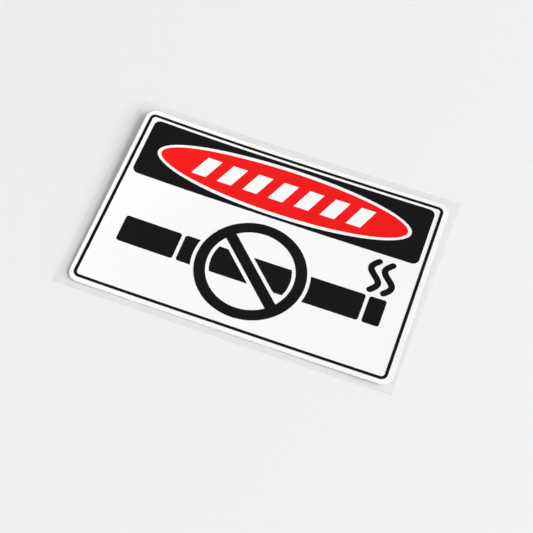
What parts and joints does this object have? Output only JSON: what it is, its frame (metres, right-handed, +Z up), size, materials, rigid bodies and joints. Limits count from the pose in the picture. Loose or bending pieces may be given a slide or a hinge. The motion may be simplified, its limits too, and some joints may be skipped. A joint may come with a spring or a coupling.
{
  "type": "no smoking sign",
  "caption": "Printed self-adhesive no smoking sign in white film, with a border line and a header panel with an oval, still on its clear release liner and lying face up.",
  "frame": {"origin": "on the floor under the middle of the release liner, at the bottom centre of the bounding box", "axes": "+X to the right along the sign's long side, +Y towards the header, +Z up out of the printed face"},
  "size_m": [0.1588, 0.107, 0.0026],
  "materials": {
    "clear_liner": "clear polyester film with a faint haze",
    "white_film": "smooth semi-gloss white vinyl",
    "black_ink": "solid screen ink, semi-gloss",
    "red_ink": "solid screen ink, semi-gloss"
  },
  "bodies": {
    "root": {"release_liner": "clear_liner", "face_film": "white_film", "border_line": "black_ink", "header_panel": "black_ink", "header_oval": "red_ink"}
  },
  "joints": []
}
